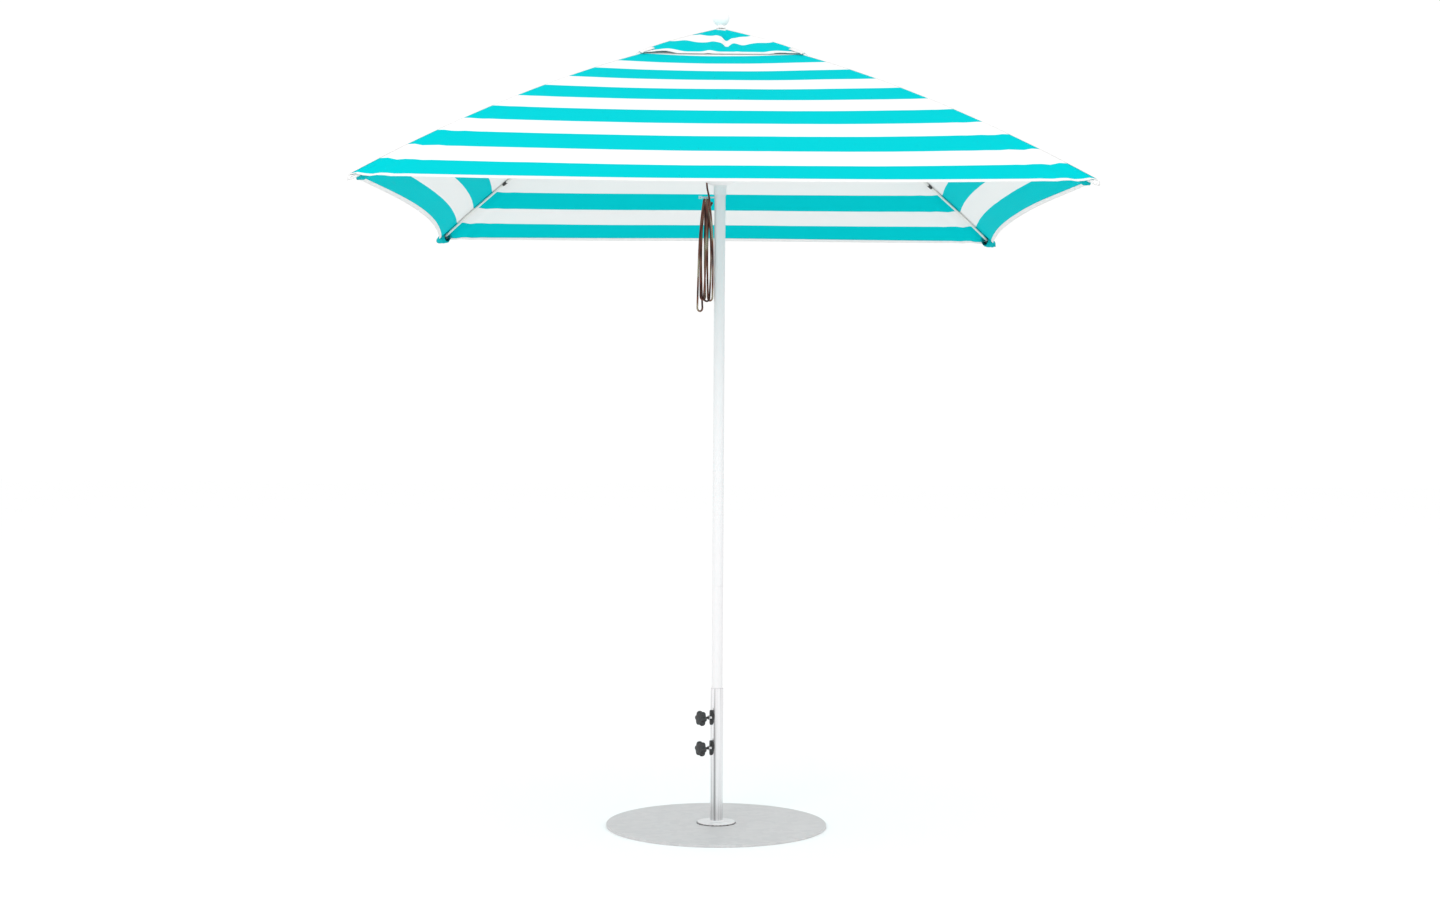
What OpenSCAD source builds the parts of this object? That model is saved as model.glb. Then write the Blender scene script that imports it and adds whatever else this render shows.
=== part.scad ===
// Square market umbrella on a round steel base: four folding ribs, a striped vented canopy,
// a two-piece pole, a pulley line and two star knobs. Millimetres, +Z up, front at -Y.

/* [Base] */
// Base plate diameter
base_d = 762; // [500:2:900]
// Base plate thickness
base_t = 9.5; // [6:0.5:16]
// Welded flange diameter
flange_d = 130; // [90:1:200]
// Welded flange thickness
flange_t = 6; // [4:0.5:12]
// Stem outside diameter
stem_d = 44.45; // [38:0.05:60]
// Stem wall
stem_wall = 2; // [1.5:0.1:3]
// Height of the stem top above the floor
stem_top = 477; // [300:1:600]
// Lower knob height
knob_low_z = 272; // [150:1:300]
// Upper knob height
knob_high_z = 377; // [310:1:450]
// Direction of the knobs, degrees from +X
knob_turn = 215; // [180:1:270]
// Outer radius of the welded bosses
boss_r = 7.5; // [6:0.5:10]
// Reach of the welded bosses from the pole axis
boss_reach = 36; // [28:1:44]
// Knob distance from the pole axis
knob_r = 56; // [45:1:70]
// Knob thickness
knob_t = 24; // [16:1:34]

/* [Pole] */
// Pole outside diameter
pole_d = 38.1; // [30:0.1:50]
// Pole wall
pole_wall = 1.5; // [1:0.1:3]
// Height of the pole's foot
foot_z = 21.6; // [20:0.1:60]
// Height of the joint between the two pole pieces
joint_z = 832; // [600:1:1200]
// Reach of the inner sleeve each way from the joint
sleeve_reach = 90; // [50:5:150]
// Height of the upper pole's end
pole_top = 2700; // [2400:1:2800]

/* [Frame] */
// Radius of the rib pivots in the hub
rib_pivot_r = 45; // [35:1:60]
// Height of the rib pivots
rib_pivot_z = 2723; // [2600:1:2800]
// Radius of the strut pivots in the runner
strut_pivot_r = 42; // [35:1:60]
// Height of the strut pivots when open
strut_pivot_z = 2252; // [2100:1:2400]
// Radius at which the struts meet the ribs
bracket_r = 750; // [600:5:900]
// Radius of the rib tips
rib_tip_r = 1556; // [1400:1:1700]
// Rib rod diameter
rib_d = 9; // [7:0.5:14]
// Bend radius of an open rib
rib_bend = 7173.1; // [5000:10:9000]
// Inside width of a strut
fork_gap = 13.4; // [10:0.1:18]

/* [Canopy] */
// Half side of the canopy, out to the rib corners
half_side = 1105; // [900:5:1300]
// Inward bow of each hem at its middle
hem_bow = 70; // [0:5:150]
// Half side of the opening under the vent
vent_hole = 190; // [100:5:250]
// Half side of the vent cap
vent_half = 275; // [200:5:350]
// Canopy thickness
cloth_t = 1.2; // [0.8:0.1:2]
// Facets along a panel
cloth_n = 18; // [8:1:30]
// Facets across half a panel
cloth_m = 9; // [4:1:16]

/* [Rope] */
// Rope diameter
rope_d = 6; // [4:0.5:10]
// Distance from the pole axis to the free fall of the line
fall_x = 46; // [44:1:50]

/* [Hidden] */
$fn = 64;
eps = 0.1;
pole_r = pole_d / 2;
bore_r = pole_r - pole_wall;
stem_r = stem_d / 2;
rib_r = rib_d / 2;
bend_x = -1856;
bend_z = -4192.93;
strut_dx = bracket_r - strut_pivot_r;
strut_dz = rib_z(bracket_r) - strut_pivot_z;
strut_len = sqrt(strut_dx * strut_dx + strut_dz * strut_dz);
strut_elev = atan2(strut_dz, strut_dx);
sheave_x = 37;
sheave_z = 2684;
sheave_r = 9;
apex_z = 2742.8;
vent_apex = 2768;
pin_y = 24.5;
pin_z = 2183;

// Height of the rib's centre line at radius r.
function rib_z(r) = bend_z + sqrt(rib_bend * rib_bend - (r - bend_x) * (r - bend_x));
// Angle of the rib below horizontal at radius r.
function rib_fall(r) = asin((r - bend_x) / rib_bend);

// Main canopy: s runs out from the axis, f is 1 on a ridge and 0 in the middle of a panel.
function main_s(i, f) = vent_hole + (half_side - hem_bow * (1 - f * f) - vent_hole) * i / cloth_n;
function main_z(s, f) = apex_z - 0.3673 * s - 0.0001751 * s * s - 53.5 * pow(s / 1000, 1.75) * (1 - f * f);
// Vent cap: the same, with a straighter ridge.
function vent_s(i, f) = 9 + (vent_half - 14 * (1 - f * f) - 9) * i / cloth_n;
function vent_z(s, f) = vent_apex - 0.4115 * s - 0.0001 * s * s - 0.00009 * s * s * (1 - f * f);

// One ring of points across a quadrant, from the middle of one panel over the ridge to the next.
function main_row(i, drop) = [for (k = [-cloth_m:cloth_m])
    let (f = 1 - abs(k) / cloth_m, s = main_s(i, f))
    [k < 0 ? s : s * f, k < 0 ? s * f : s, main_z(s, f) - drop]];
function vent_row(i, drop) = [for (k = [-cloth_m:cloth_m])
    let (f = 1 - abs(k) / cloth_m, s = vent_s(i, f))
    [k < 0 ? s : s * f, k < 0 ? s * f : s, vent_z(s, f) - drop]];

// A closed shell from an upper and a lower grid with n + 1 rows of c points.
module shell(top, bottom, n, c) {
    h = (n + 1) * c;
    up = [for (i = [0:n - 1]) for (k = [0:c - 2])
        each [[i * c + k, (i + 1) * c + k, (i + 1) * c + k + 1], [i * c + k, (i + 1) * c + k + 1, i * c + k + 1]]];
    down = [for (t = up) [t[2] + h, t[1] + h, t[0] + h]];
    inner = [for (k = [0:c - 2]) each [[k, k + 1, k + 1 + h], [k, k + 1 + h, k + h]]];
    outer = [for (k = [0:c - 2]) each [[n * c + k + 1, n * c + k, n * c + k + h],
        [n * c + k + 1, n * c + k + h, n * c + k + 1 + h]]];
    first = [for (i = [0:n - 1]) each [[(i + 1) * c, i * c, i * c + h], [(i + 1) * c, i * c + h, (i + 1) * c + h]]];
    last = [for (i = [0:n - 1]) each [[i * c + c - 1, (i + 1) * c + c - 1, (i + 1) * c + c - 1 + h],
        [i * c + c - 1, (i + 1) * c + c - 1 + h, i * c + c - 1 + h]]];
    polyhedron(points = concat(top, bottom), faces = concat(up, down, inner, outer, first, last));
}

// Places its children on rib n, which leaves the pole at 45 degrees plus quarter turns.
module on_rib(n) {
    rotate([0, 0, 90 * n - 45])
        children();
}

// Places its children on the rib's centre line at radius r, with +X along the rib.
module at_rib(r) {
    translate([r, 0, rib_z(r)])
        rotate([0, rib_fall(r), 0])
            children();
}

// A rod of radius q along +X from a to b.
module rod_x(a, b, q) {
    translate([a, 0, 0])
        rotate([0, 90, 0])
            cylinder(r = q, h = b - a);
}

// A rod of radius q along Y, centred, of length w.
module rod_y(w, q) {
    rotate([90, 0, 0])
        cylinder(r = q, h = w, center = true);
}

// Places its children on a knob's axis at height z, with +X away from the stem.
module on_knob(z) {
    translate([0, 0, z])
        rotate([0, 0, knob_turn])
            children();
}

module base_plate() {
    color([0.72, 0.73, 0.74])
        rotate_extrude($fn = 128)
            polygon([[0, 0], [base_d / 2 - 1, 0], [base_d / 2, 1], [base_d / 2, base_t - 1.5],
                [base_d / 2 - 1.5, base_t], [0, base_t]]);
}

module base_flange() {
    color([0.74, 0.75, 0.76])
        translate([0, 0, base_t])
            rotate_extrude($fn = 96)
                polygon([[0, 0], [flange_d / 2, 0], [flange_d / 2, flange_t - 1], [flange_d / 2 - 1, flange_t],
                    [stem_r + 5, flange_t], [stem_r, flange_t + 5], [stem_r - 0.4, flange_t + 5],
                    [stem_r - 0.4, flange_t], [0, flange_t]]);
}

module stem_tube() {
    color([0.76, 0.77, 0.78])
        difference() {
            union() {
                translate([0, 0, base_t + flange_t])
                    rotate_extrude()
                        polygon([[stem_r - stem_wall, 0], [stem_r - 0.4, 0], [stem_r - 0.4, 5], [stem_r, 5],
                            [stem_r, stem_top - base_t - flange_t], [stem_r - stem_wall, stem_top - base_t - flange_t]]);
                for (z = [knob_low_z, knob_high_z])
                    on_knob(z)
                        difference() {
                            rod_x(10, boss_reach, boss_r);
                            translate([0, 0, -20])
                                cylinder(r = stem_r - 1, h = 40);
                        }
            }
            on_knob(knob_high_z)
                rod_x(10, 60, 4.06);
            on_knob(knob_low_z)
                rod_x(10, 60, 4.06);
        }
}

// Oval pad round a welded boss on the outside of the stem.
module insert(z) {
    color([0.05, 0.05, 0.05])
        on_knob(z)
            difference() {
                intersection() {
                    translate([0, 0, -30])
                        cylinder(r = stem_r + 4.5, h = 60);
                    rotate([90, 0, 90])
                        linear_extrude(height = 40)
                            union() {
                                translate([-9, -17])
                                    square([18, 34]);
                                translate([0, 17])
                                    circle(r = 9);
                                translate([0, -17])
                                    circle(r = 9);
                            }
                }
                translate([0, 0, -31])
                    cylinder(r = stem_r + 0.02, h = 62);
                rod_x(10, 60, boss_r + 0.1);
            }
}

module insert_high() {
    insert(knob_high_z);
}

module insert_low() {
    insert(knob_low_z);
}

// Star knob with six rounded lobes and a domed face.
module knob(z) {
    color([0.04, 0.04, 0.04])
        on_knob(z)
            difference() {
                union() {
                    rotate([0, 90, 0])
                        translate([0, 0, knob_r])
                            linear_extrude(height = knob_t - 6)
                                union() {
                                    circle(r = 20);
                                    for (a = [0:60:300])
                                        rotate(a)
                                            translate([19, 0])
                                                circle(r = 8);
                                }
                    rotate([0, 90, 0])
                        translate([0, 0, knob_r - 5])
                            cylinder(r1 = 7, r2 = 12, h = 6);
                    rotate([0, 90, 0])
                        translate([0, 0, knob_r + knob_t - 7])
                            cylinder(r1 = 20, r2 = 14, h = 6);
                }
                rod_x(knob_r - 20, knob_r + 10, 4.02);
            }
}

module knob_high() {
    knob(knob_high_z);
}

module knob_low() {
    knob(knob_low_z);
}

// M8 stud whose end bears on the pole.
module stud(z) {
    color([0.12, 0.12, 0.12])
        on_knob(z)
            rod_x(pole_r + 0.15, knob_r + 8, 4);
}

module stud_high() {
    stud(knob_high_z);
}

module stud_low() {
    stud(knob_low_z);
}

module foot_plug() {
    color([0.9, 0.9, 0.9])
        rotate_extrude()
            polygon([[0, foot_z - 6], [pole_r - 1, foot_z - 6], [pole_r, foot_z - 5], [pole_r, foot_z - eps],
                [bore_r - 0.08, foot_z - eps], [bore_r - 0.08, foot_z + 34], [bore_r - 2, foot_z + 36], [0, foot_z + 36]]);
}

module lower_pole() {
    color([0.93, 0.93, 0.92])
        translate([0, 0, foot_z])
            difference() {
                cylinder(r = pole_r, h = joint_z - foot_z);
                translate([0, 0, -1])
                    cylinder(r = bore_r, h = joint_z - foot_z + 2);
            }
}

// Inner sleeve, fast in the lower pole and a sliding fit in the upper one.
module joint_sleeve() {
    color([0.7, 0.71, 0.72])
        translate([0, 0, joint_z - sleeve_reach])
            difference() {
                cylinder(r = bore_r - 0.05, h = 2 * sleeve_reach);
                translate([0, 0, -1])
                    cylinder(r = bore_r - 1.8, h = 2 * sleeve_reach + 2);
            }
}

module upper_pole() {
    color([0.93, 0.93, 0.92])
        difference() {
            translate([0, 0, joint_z + 0.3])
                cylinder(r = pole_r, h = pole_top - joint_z - 0.3);
            translate([0, 0, joint_z - 1])
                cylinder(r = bore_r, h = pole_top - joint_z + 2);
            translate([0, 0, pin_z])
                rod_x(-30, 30, 3.3);
        }
}

// Top notch: four open slots for the rib roots and two cheeks for the sheave.
module hub() {
    color([0.9, 0.9, 0.9])
        difference() {
            union() {
                rotate_extrude()
                    polygon([[pole_r + 0.03, 2660], [22, 2660], [22, 2700], [30, 2708], [54, 2708], [56, 2710],
                        [56, 2731], [53, 2734], [30, 2736], [16, 2742], [4.03, 2742], [4.03, 2716],
                        [14, 2716], [14, 2704], [pole_r + 0.03, 2702]]);
                for (y = [-9.5, 4.5])
                    translate([-52, y, 2670])
                        cube([31, 5, 39]);
            }
            for (a = [45:90:315])
                rotate([0, 0, a])
                    translate([31, -4.3, 2690])
                        cube([40, 8.6, 60]);
            for (a = [45:90:315])
                rotate([0, 0, a])
                    translate([rib_pivot_r, 0, rib_pivot_z])
                        rod_y(26, 2.02);
            translate([-sheave_x, 0, sheave_z])
                rod_y(30, 2.02);
            for (x = [-fall_x, -28])
                translate([x, 0, 2690])
                    cylinder(r = 4, h = 10);
        }
}

module hub_pins() {
    color([0.75, 0.75, 0.77])
        for (a = [45:90:315])
            rotate([0, 0, a])
                translate([rib_pivot_r, 0, rib_pivot_z])
                    rod_y(24, 2);
}

module sheave_axle() {
    color([0.75, 0.75, 0.77])
        translate([-sheave_x, 0, sheave_z])
            rod_y(20, 2);
}

// Steel sheave with a round groove.
module hub_sheave() {
    color([0.7, 0.7, 0.72])
        translate([-sheave_x, 0, sheave_z])
            rotate([90, 0, 0])
                rotate_extrude()
                    polygon([[2.06, -4], [11.5, -4], [11.5, -3.4], [8, -3.1], [6.6, -2.4], [5.9, -1.6],
                        [5.9, 1.6], [6.6, 2.4], [8, 3.1], [11.5, 3.4], [11.5, 4], [2.06, 4]]);
}

module finial_stud() {
    color([0.75, 0.75, 0.77])
        translate([0, 0, 2716])
            cylinder(r = 4, h = 82);
}

module vent_spacer() {
    color([0.9, 0.9, 0.9])
        translate([0, 0, 2742])
            difference() {
                cylinder(r = 14, h = 17);
                translate([0, 0, -1])
                    cylinder(r = 4.05, h = 20);
            }
}

module finial() {
    color([0.95, 0.95, 0.95])
        difference() {
            rotate_extrude($fn = 96)
                union() {
                    polygon([[0, 2767.5], [17, 2767.5], [17, 2770], [11, 2772.5], [11, 2780], [0, 2785]]);
                    intersection() {
                        translate([0, 2803])
                            circle(r = 29);
                        translate([0, 2770])
                            square([40, 70]);
                    }
                }
            translate([0, 0, 2760])
                cylinder(r = 4.05, h = 39);
        }
}

// Runner: sleeve, tapered disc and four lugs that the struts straddle.
module runner() {
    color([0.92, 0.92, 0.92])
        difference() {
            union() {
                rotate_extrude()
                    polygon([[pole_r + 0.1, 2189], [22, 2189], [22, 2221], [50, 2232], [51.5, 2234], [51.5, 2238],
                        [50, 2240], [24.3, 2240], [24.3, 2262], [22.5, 2264], [pole_r + 0.1, 2264]]);
                for (a = [45:90:315])
                    rotate([0, 0, a]) {
                        translate([22, -6.5, 2238])
                            cube([20, 13, 22]);
                        translate([strut_pivot_r, 0, strut_pivot_z])
                            rod_y(13, 8);
                        translate([strut_pivot_r - 8, -6.5, 2238])
                            cube([16, 13, 14]);
                    }
                for (x = [-17, 9])
                    translate([x, 19.6, 2177])
                        cube([8, 9.4, 24]);
            }
            for (a = [45:90:315])
                rotate([0, 0, a])
                    translate([strut_pivot_r, 0, strut_pivot_z])
                        rod_y(20, 2.52);
            translate([0, 0, 2170])
                cylinder(r = pole_r + 0.1, h = 110);
            translate([0, pin_y, pin_z])
                rod_x(-40, 40, 3.05);
            translate([-fall_x, 0, 2180])
                cylinder(r = 4, h = 80);
            translate([-29.5, 0, 2225])
                cylinder(r = 3.3, h = 30);
        }
}

module runner_pins() {
    color([0.75, 0.75, 0.77])
        for (a = [45:90:315])
            rotate([0, 0, a])
                translate([strut_pivot_r, 0, strut_pivot_z])
                    union() {
                        rod_y(19, 2.5);
                        for (y = [-9.9, 8.5])
                            translate([0, y, 0])
                                rotate([-90, 0, 0])
                                    cylinder(r = 4, h = 1.4);
                    }
}

module locking_pin() {
    color([0.78, 0.79, 0.8])
        translate([0, pin_y, pin_z])
            difference() {
                union() {
                    rod_x(-66, 17.6, 3);
                    translate([-74, -1.5, -5])
                        cube([12, 3, 10]);
                }
                translate([-69, 0, 0])
                    rod_y(12, 2);
            }
}

// Two falls of the line between the sheave and the runner.
module lift_line() {
    color([0.5, 0.38, 0.28])
        union() {
            translate([-fall_x, 0, 2240.4])
                cylinder(r = rope_d / 2, h = sheave_z - 2240.4, $fn = 24);
            translate([-28, 0, 2241])
                cylinder(r = rope_d / 2, h = sheave_z - 2241, $fn = 24);
            translate([-sheave_x, 0, sheave_z])
                rotate([90, 0, 0])
                    rotate_extrude(angle = 180)
                        translate([sheave_r, 0])
                            circle(r = rope_d / 2, $fn = 24);
            translate([-29.5, 0, 2232.5])
                cylinder(r = 3.2, h = 9, $fn = 24);
        }
}

// Free end of the line below the runner, down to the hank.
module rope_tail() {
    color([0.5, 0.38, 0.28])
        translate([-fall_x, 0, 2176.8])
            cylinder(r = rope_d / 2, h = 63.2, $fn = 24);
}

// The coiled hank, as one slab: narrow where it hangs, with one long loop at its foot.
module rope_hank() {
    color([0.5, 0.38, 0.28])
        translate([-44.8, 14.5, 0])
            rotate([90, 0, 0])
                linear_extrude(height = 29)
                    union() {
                        polygon([[-32.5, 1828], [25, 1828], [25, 2090], [12.6, 2162.5], [-12.6, 2162.5], [-32.5, 2050]]);
                        translate([0, 2162.5])
                            circle(r = 14);
                        translate([-21.5, 1794.5])
                            circle(r = 11);
                        translate([-32.5, 1794.5])
                            square([22, 35]);
                    }
}

// One fibreglass rib, bent by the canopy.
module rib_rod() {
    color([0.9, 0.9, 0.88])
        translate([bend_x, 0, bend_z])
            rotate([90, 0, 0])
                rotate([0, 0, 90 - rib_fall(rib_tip_r - 8)])
                    rotate_extrude(angle = rib_fall(rib_tip_r - 8) - rib_fall(84), $fn = 720)
                        translate([rib_bend, 0])
                            circle(r = rib_r, $fn = 24);
}

// Socket and blade at the hub end of a rib.
module rib_root() {
    color([0.88, 0.88, 0.88])
        difference() {
            union() {
                at_rib(75)
                    rod_x(0, 54, 6.6);
                at_rib(75)
                    translate([-31, -3.6, -5.6])
                        cube([37, 7.2, 11.2]);
                translate([rib_pivot_r, 0, rib_pivot_z])
                    rod_y(8, 7.4);
            }
            at_rib(105)
                rod_x(-23, 30, 4.6);
            translate([rib_pivot_r, 0, rib_pivot_z])
                rod_y(20, 2.06);
        }
}

// Moulded collar that the strut's fork straddles.
module rib_bracket() {
    color([0.06, 0.06, 0.06])
        at_rib(bracket_r)
            difference() {
                union() {
                    rod_x(-16, 16, 5.7);
                    rod_y(13, 3.5);
                }
                rod_x(-20, 20, 4.55);
            }
}

// Small collar that keeps the canopy's tie in place.
module rib_clip() {
    color([0.06, 0.06, 0.06])
        at_rib(1160)
            difference() {
                rod_x(-11, 11, 5.5);
                rod_x(-15, 15, 4.55);
            }
}

module rib_tip() {
    color([0.06, 0.06, 0.06])
        at_rib(rib_tip_r - 20)
            difference() {
                union() {
                    rod_x(-12, 14, 5.4);
                    translate([14, 0, 0])
                        sphere(r = 5.4);
                }
                rod_x(-20, 14.2, 4.55);
            }
}

// Pressed steel channel: its web is cut away where the rib crosses it, and its ends are trimmed under the cloth.
module strut() {
    color([0.9, 0.9, 0.9])
        translate([strut_pivot_r, 0, strut_pivot_z])
            rotate([0, -strut_elev, 0])
                difference() {
                    union() {
                        for (y = [-fork_gap / 2 - 1.5, fork_gap / 2])
                            translate([0, y, 0])
                                rotate([-90, 0, 0])
                                    linear_extrude(height = 1.5)
                                        union() {
                                            circle(r = 6);
                                            translate([0, -6])
                                                square([strut_len, 12]);
                                            translate([strut_len, 0])
                                                circle(r = 6);
                                        }
                        translate([34, -fork_gap / 2 - 0.5, 4.5])
                            cube([500, fork_gap + 1, 1.5]);
                        for (y = [-fork_gap / 2 - 2.6, fork_gap / 2 + 1.4])
                            translate([strut_len, y, 0])
                                rotate([-90, 0, 0])
                                    cylinder(r = 2.2, h = 1.2);
                    }
                    rod_y(40, 2.56);
                    translate([strut_len, 0, 0])
                        rotate([0, rib_fall(bracket_r) + strut_elev, 0])
                            translate([-30, -20, 2.5])
                                cube([60, 40, 20]);
                }
}

module canopy() {
    color([0.1, 0.78, 0.82])
        shell([for (i = [0:cloth_n]) each main_row(i, 0)], [for (i = [0:cloth_n]) each main_row(i, cloth_t)],
            cloth_n, 2 * cloth_m + 1);
}

module vent() {
    color([0.95, 0.97, 0.97])
        shell([for (i = [0:cloth_n]) each vent_row(i, 0)], [for (i = [0:cloth_n]) each vent_row(i, cloth_t)],
            cloth_n, 2 * cloth_m + 1);
}

base_plate();
base_flange();
stem_tube();
insert_high();
insert_low();
knob_high();
stud_high();
knob_low();
stud_low();
foot_plug();
lower_pole();
joint_sleeve();
upper_pole();
hub();
hub_pins();
sheave_axle();
hub_sheave();
finial_stud();
vent_spacer();
finial();
runner();
runner_pins();
locking_pin();
lift_line();
rope_tail();
rope_hank();
on_rib(1) rib_rod();  // rib_rod_1
on_rib(2) rib_rod();  // rib_rod_2
on_rib(3) rib_rod();  // rib_rod_3
on_rib(4) rib_rod();  // rib_rod_4
on_rib(1) rib_root();  // rib_root_1
on_rib(2) rib_root();  // rib_root_2
on_rib(3) rib_root();  // rib_root_3
on_rib(4) rib_root();  // rib_root_4
on_rib(1) rib_bracket();  // rib_bracket_1
on_rib(2) rib_bracket();  // rib_bracket_2
on_rib(3) rib_bracket();  // rib_bracket_3
on_rib(4) rib_bracket();  // rib_bracket_4
on_rib(1) rib_clip();  // rib_clip_1
on_rib(2) rib_clip();  // rib_clip_2
on_rib(3) rib_clip();  // rib_clip_3
on_rib(4) rib_clip();  // rib_clip_4
on_rib(1) rib_tip();  // rib_tip_1
on_rib(2) rib_tip();  // rib_tip_2
on_rib(3) rib_tip();  // rib_tip_3
on_rib(4) rib_tip();  // rib_tip_4
on_rib(1) strut();  // strut_1
on_rib(2) strut();  // strut_2
on_rib(3) strut();  // strut_3
on_rib(4) strut();  // strut_4
rotate([0, 0, 0]) canopy();  // canopy_1
rotate([0, 0, 90]) canopy();  // canopy_2
rotate([0, 0, 180]) canopy();  // canopy_3
rotate([0, 0, 270]) canopy();  // canopy_4
rotate([0, 0, 0]) vent();  // vent_1
rotate([0, 0, 90]) vent();  // vent_2
rotate([0, 0, 180]) vent();  // vent_3
rotate([0, 0, 270]) vent();  // vent_4
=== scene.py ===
"""Looks for a square market umbrella: striped canopy with a vent cap, rope hank, painted pole and zinc base.

Metres, +Z up, front at -Y. Ribs leave the pole on the diagonals; rib n stands at 90 n - 45 degrees from +X.
"""

import math
import random

import bpy
from mathutils import Euler, Matrix, Quaternion, Vector, noise


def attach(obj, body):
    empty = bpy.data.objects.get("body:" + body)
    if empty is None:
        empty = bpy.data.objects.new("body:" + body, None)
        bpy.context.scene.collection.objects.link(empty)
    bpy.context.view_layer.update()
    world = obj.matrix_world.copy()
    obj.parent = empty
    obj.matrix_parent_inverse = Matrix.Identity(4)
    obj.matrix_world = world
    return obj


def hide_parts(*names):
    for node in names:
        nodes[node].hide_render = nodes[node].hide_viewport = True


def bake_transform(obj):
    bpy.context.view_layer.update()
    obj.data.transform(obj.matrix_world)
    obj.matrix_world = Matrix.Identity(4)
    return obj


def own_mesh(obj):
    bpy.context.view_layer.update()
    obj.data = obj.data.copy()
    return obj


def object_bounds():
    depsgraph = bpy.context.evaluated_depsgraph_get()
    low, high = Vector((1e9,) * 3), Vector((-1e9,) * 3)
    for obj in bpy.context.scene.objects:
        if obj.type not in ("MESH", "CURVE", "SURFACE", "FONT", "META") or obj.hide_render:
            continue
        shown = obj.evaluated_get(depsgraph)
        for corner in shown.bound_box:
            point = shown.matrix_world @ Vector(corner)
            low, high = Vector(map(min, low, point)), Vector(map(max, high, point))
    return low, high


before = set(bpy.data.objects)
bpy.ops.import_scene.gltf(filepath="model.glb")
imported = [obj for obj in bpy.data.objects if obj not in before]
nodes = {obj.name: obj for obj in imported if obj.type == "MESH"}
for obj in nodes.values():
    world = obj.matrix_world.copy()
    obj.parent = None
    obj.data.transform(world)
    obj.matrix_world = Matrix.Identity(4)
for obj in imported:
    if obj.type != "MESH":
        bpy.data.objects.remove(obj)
cad_low, cad_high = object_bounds()

# ---------------------------------------------------------------- sizes

# The canopy is a square with a square hole under its vent cap; the hems of both bow inward at their middles.
HALF_SIDE = 1.105
HEM_BOW = 0.070
VENT_HOLE = 0.190
VENT_HALF = 0.275
VENT_BOW = 0.014
CLOTH_LIFT = 0.0006

# Ridges fall from the apex by a share of s, the distance out towards a hem, and a share of its square.
APEX_Z = 2.7428
RIDGE_FALL = 0.3673
RIDGE_CURVE = 0.1751
VENT_APEX = 2.768
VENT_FALL = 0.4115
VENT_CURVE = 0.1
PANEL_DIP = 0.0535

# Each rib is an arc: its radius of bend, the arc's centre as (radius, height), and how far out it ends.
RIB_BEND = 7.1731
RIB_CENTRE = (-1.856, -4.19293)

# The line leaves the runner at LINE_EXIT and hangs in a hank; two falls go up to the sheave.
ROPE_D = 0.0066
LINE_EXIT = (-0.046, 0.0, 2.238)
HANK_TOP = 2.162
NECK_HALF = 0.0115
LIFT_D = 0.0060
SHEAVE_X = -0.037
SHEAVE_Z = 2.684
SHEAVE_R = 0.009

KNOB_AZIMUTH = 215
KNOB_REACH = 0.056
KNOB_HIGH_Z = 0.377
KNOB_LOW_Z = 0.272

# Stripes: the first one's place, their pitch at a panel's middle and at its ridge, and the turquoise share.
STRIPES_START = 0.3428
STRIPE_MIDDLE = 0.1388
STRIPE_RIDGE = 0.1522
STRIPE_LOW = 0.03
STRIPE_SHARE = 0.53
STRIPE_EDGE = 220.0
WEAVE_PITCH = 0.0016

# Folds of the vent cap: place along the hem from -1 to 1, width on the same measure, drop in metres.
VENT_FOLDS = (
    (-0.74, 0.15, -0.016), (-0.42, 0.13, 0.003), (-0.17, 0.08, -0.006),
    (0.22, 0.08, -0.003), (0.43, 0.11, 0.011), (0.74, 0.15, -0.010),
)

# ---------------------------------------------------------------- camera

camera = bpy.data.objects.new("camera", bpy.data.cameras.new("camera"))
camera.data.sensor_width = 36.0
camera.data.lens = 52.56
camera.data.shift_y = -0.0219
camera.location = (-0.0844, -7.2995, 1.4045)
camera.rotation_mode = "QUATERNION"
level = Euler((math.radians(90), 0.0, 0.0)).to_quaternion()
heading = Quaternion((0, 0, 1), -0.0122)
roll = Quaternion((0, 0, 1), 0.0062)
camera.rotation_quaternion = heading @ level @ roll
bpy.context.scene.collection.objects.link(camera)
bpy.context.scene.camera = camera

# ---------------------------------------------------------------- mesh helpers


def add_object(name, verts, faces, material, uvs=None, normals=None, smooth=True):
    """Links a mesh object. uvs and normals hold one entry for each vertex."""
    mesh = bpy.data.meshes.new(name)
    mesh.from_pydata([tuple(v) for v in verts], [], faces)
    if uvs:
        layer = mesh.uv_layers.new(name="UVMap")
        for loop in mesh.loops:
            layer.data[loop.index].uv = uvs[loop.vertex_index]
    for polygon in mesh.polygons:
        polygon.use_smooth = smooth
    mesh.materials.append(material)
    mesh.update()
    if normals:
        mesh.normals_split_custom_set_from_vertices([tuple(n) for n in normals])
    piece = bpy.data.objects.new(name, mesh)
    bpy.context.scene.collection.objects.link(piece)
    return piece


def grid_faces(rows, columns):
    """Quads over rows x columns points."""
    faces = []
    for i in range(rows - 1):
        for k in range(columns - 1):
            here = i * columns + k
            below = here + columns
            faces.append((here, below, below + 1, here + 1))
    return faces


def frames_along(points):
    """A side and an up for each point, turning as little as possible."""
    count = len(points)
    tangents = []
    for i in range(count):
        a, b = points[max(i - 1, 0)], points[min(i + 1, count - 1)]
        tangents.append((b - a).normalized())
    side = tangents[0].orthogonal().normalized()
    found = []
    for t in tangents:
        side = (side - t * side.dot(t)).normalized()
        found.append((side, t.cross(side)))
    return found


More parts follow.
